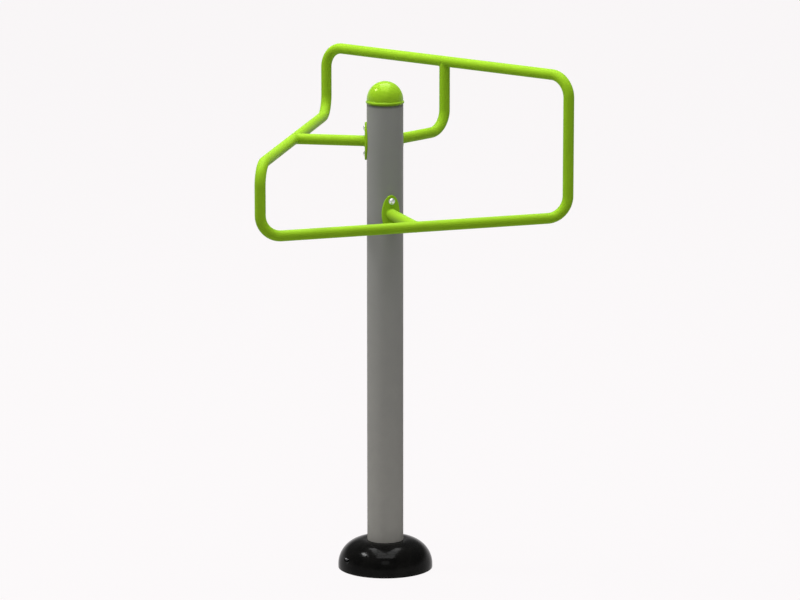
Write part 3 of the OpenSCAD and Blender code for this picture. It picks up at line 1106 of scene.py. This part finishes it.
def build_world():
    """A studio whose walls are pale up to a low height, under a dim ceiling."""
    world = bpy.data.worlds.new("studio")
    bpy.context.scene.world = world
    world.use_nodes = True
    tree = world.node_tree
    place = tree.nodes.new("ShaderNodeTexCoord").outputs["Generated"]
    height = wire(tree, "ShaderNodeSeparateXYZ", Vector=place).outputs["Z"]
    ceiling = spread(tree, height, WALL_TOP, CEILING_FOOT, 0.0, 1.0)
    dim = (CEILING_LEVEL, CEILING_LEVEL, CEILING_LEVEL, 1)
    tone = mixed(tree, ceiling, (*colours().backdrop, 1), dim)
    plug(tree, tree.nodes["Background"].inputs["Color"], tone)
    strength = spread(tree, seen_directly(tree), 0.0, 1.0, WALL_LIGHT, 1.0)
    plug(tree, tree.nodes["Background"].inputs["Strength"], strength)


def seen_directly(tree):
    """Is 1 for what the camera sees, also in gloss and through glass."""
    path = tree.nodes.new("ShaderNodeLightPath").outputs
    seen = maths(tree, "MAXIMUM", path["Is Camera Ray"], path["Is Glossy Ray"])
    return maths(tree, "MAXIMUM", seen, path["Is Transmission Ray"])


def place_lamp(name, elevation, bearing, distance, width, height, radiance):
    """Sets a soft lamp. Its bearing is counted from the camera's, to the right."""
    data = bpy.data.lights.new(name, "AREA")
    data.shape = "RECTANGLE"
    data.size = width
    data.size_y = height
    data.energy = radiance * math.pi * width * height
    turn = math.radians(bearing) - CAMERA_TURN
    rise = math.radians(elevation)
    level = math.cos(rise)
    away = Vector((math.sin(turn) * level, -math.cos(turn) * level, math.sin(rise)))
    lamp = add_object(name, data)
    lamp.location = LAMP_TARGET + away * distance
    lamp.rotation_euler = away.to_track_quat("Z", "Y").to_euler()


def build_floor():
    """The studio's floor, which is no piece of the station."""
    bm = bmesh.new()
    bmesh.ops.create_grid(bm, x_segments=1, y_segments=1, size=FLOOR_REACH)
    floor = object_from("studio_floor", bm)
    floor.data.materials.append(new_material("studio_floor", floor_finish))


def place_camera():
    """Sets the camera that was fitted to the photograph."""
    data = bpy.data.cameras.new("photo_camera")
    data.sensor_width = SENSOR_WIDTH
    data.lens = FOCAL_PIXELS / PHOTO_WIDTH * SENSOR_WIDTH
    camera = add_object("photo_camera", data)
    camera.location = (
        -CAMERA_DISTANCE * math.sin(CAMERA_TURN),
        -CAMERA_DISTANCE * math.cos(CAMERA_TURN),
        CAMERA_HEIGHT,
    )
    camera.rotation_euler = (QUARTER - CAMERA_PITCH, 0, -(CAMERA_TURN + CAMERA_YAW))
    bpy.context.scene.camera = camera


class STATION_OT_post(bpy.types.Operator):
    """Builds the post"""

    bl_idname = "station.post"
    bl_label = "Post"

    def execute(self, context):
        build_post()
        return {"FINISHED"}


class STATION_OT_cap(bpy.types.Operator):
    """Builds the post's domed cap"""

    bl_idname = "station.cap"
    bl_label = "Cap"

    def execute(self, context):
        build_cap()
        return {"FINISHED"}


class STATION_OT_plates(bpy.types.Operator):
    """Builds the three saddle plates"""

    bl_idname = "station.plates"
    bl_label = "Saddle Plates"

    def execute(self, context):
        nodes = {"low": "saddle_low", "middle": "saddle_mid", "high": "saddle_high"}
        for level, node in nodes.items():
            build_plate(f"{level}_saddle_plate", node, *ARM_PLACES[level])
        return {"FINISHED"}


class STATION_OT_bolts(bpy.types.Operator):
    """Builds the bolts of the saddle plates"""

    bl_idname = "station.bolts"
    bl_label = "Bolts"

    def execute(self, context):
        build_bolts()
        return {"FINISHED"}


class STATION_OT_washers(bpy.types.Operator):
    """Builds the washers under the bolts' heads"""

    bl_idname = "station.washers"
    bl_label = "Washers"

    def execute(self, context):
        build_washers()
        return {"FINISHED"}


class STATION_OT_foot(bpy.types.Operator):
    """Gives the solids of the foot and the hidden fasteners their finish"""

    bl_idname = "station.foot"
    bl_label = "Foot Finishes"

    def execute(self, context):
        foot = ("base_flange", "gusset_1", "gusset_2", "gusset_3", "gusset_4")
        give_finish(grey_coat(), *foot)
        give_finish(black_plastic(), "cover_front", "cover_rear")
        give_finish(bright_steel(), "cover_screws", "post_inserts")
        return {"FINISHED"}


class STATION_OT_rails(bpy.types.Operator):
    """Builds the three rails of the loop"""

    bl_idname = "station.rails"
    bl_label = "Rails"

    def execute(self, context):
        half = STEP / 2
        build_rail("front_low_rail", "rail_low", 0, LOW_HEIGHT, half, STEP)
        build_rail("left_middle_rail", "rail_mid", -SIDE_TURN, MIDDLE_HEIGHT, half, -half)
        build_rail("right_high_rail", "rail_high", SIDE_TURN, HIGH_HEIGHT, -STEP, -half)
        return {"FINISHED"}


class STATION_OT_arms(bpy.types.Operator):
    """Builds the three arms that carry the loop"""

    bl_idname = "station.arms"
    bl_label = "Arms"

    def execute(self, context):
        build_straight_arm("front_low_arm", "arm_low", *ARM_PLACES["low"])
        build_straight_arm("left_middle_arm", "arm_mid", *ARM_PLACES["middle"])
        build_rising_arm("right_high_arm", "arm_high", *ARM_PLACES["high"])
        return {"FINISHED"}


class STATION_OT_welds(bpy.types.Operator):
    """Builds the weld beads at both ends of each arm"""

    bl_idname = "station.welds"
    bl_label = "Welds"

    def execute(self, context):
        plate = plate_outer_radius()
        outwards = Matrix.Rotation(QUARTER, 4, "X")

        def at_plate(x, y):
            return math.sqrt(plate**2 - x**2)

        def at_rail(x, y):
            return SIDE_OUT - math.sqrt(max(RAIL_RADIUS**2 - y**2, 0))

        def at_high_rail(x, y):
            return STEP - math.sqrt(max(RAIL_RADIUS**2 - y**2, 0))

        for level, (turn, height) in ARM_PLACES.items():
            place = arm_place(turn, height)
            build_weld(f"{level}_arm_plate_weld", place @ outwards, at_plate)
            if level == "high":
                upwards = Matrix.Translation((0, -SIDE_OUT, 0))
                build_weld(f"{level}_arm_rail_weld", place @ upwards, at_high_rail, THINNING_SHARE)
            else:
                build_weld(f"{level}_arm_rail_weld", place @ outwards, at_rail, THINNING_SHARE)
        return {"FINISHED"}


class STATION_OT_stage(bpy.types.Operator):
    """Sets the floor, the light and the camera"""

    bl_idname = "station.stage"
    bl_label = "Stage"

    def execute(self, context):
        build_floor()
        build_world()
        for lamp in LAMPS:
            place_lamp(*lamp)
        place_camera()
        bpy.context.scene.view_settings.view_transform = "Standard"
        return {"FINISHED"}


OPERATORS = (
    STATION_OT_post,
    STATION_OT_cap,
    STATION_OT_rails,
    STATION_OT_arms,
    STATION_OT_plates,
    STATION_OT_bolts,
    STATION_OT_washers,
    STATION_OT_welds,
    STATION_OT_foot,
    STATION_OT_stage,
)


class STATION_PT_pieces(bpy.types.Panel):
    """Lists the pieces of the station"""

    bl_idname = "STATION_PT_pieces"
    bl_label = "Stretching Station"
    bl_space_type = "VIEW_3D"
    bl_region_type = "UI"
    bl_category = "Station"

    def draw(self, context):
        for operator in OPERATORS:
            self.layout.operator(operator.bl_idname)


CLASSES = (StationSizes, StationColours, *OPERATORS, STATION_PT_pieces)


def register():
    """Makes the sizes, colours, operators and panel known."""
    for each in CLASSES:
        bpy.utils.register_class(each)
    bpy.types.Scene.station_sizes = PointerProperty(type=StationSizes)
    bpy.types.Scene.station_colours = PointerProperty(type=StationColours)


def unregister():
    """Takes them out again."""
    del bpy.types.Scene.station_colours
    del bpy.types.Scene.station_sizes
    for each in reversed(CLASSES):
        bpy.utils.unregister_class(each)


def main():
    """Builds the station piece by piece."""
    register()
    bpy.ops.station.post()
    bpy.ops.station.cap()
    bpy.ops.station.rails()
    bpy.ops.station.arms()
    bpy.ops.station.plates()
    bpy.ops.station.bolts()
    bpy.ops.station.washers()
    bpy.ops.station.welds()
    bpy.ops.station.foot()
    bpy.ops.station.stage()


if __name__ == "__main__":
    main()
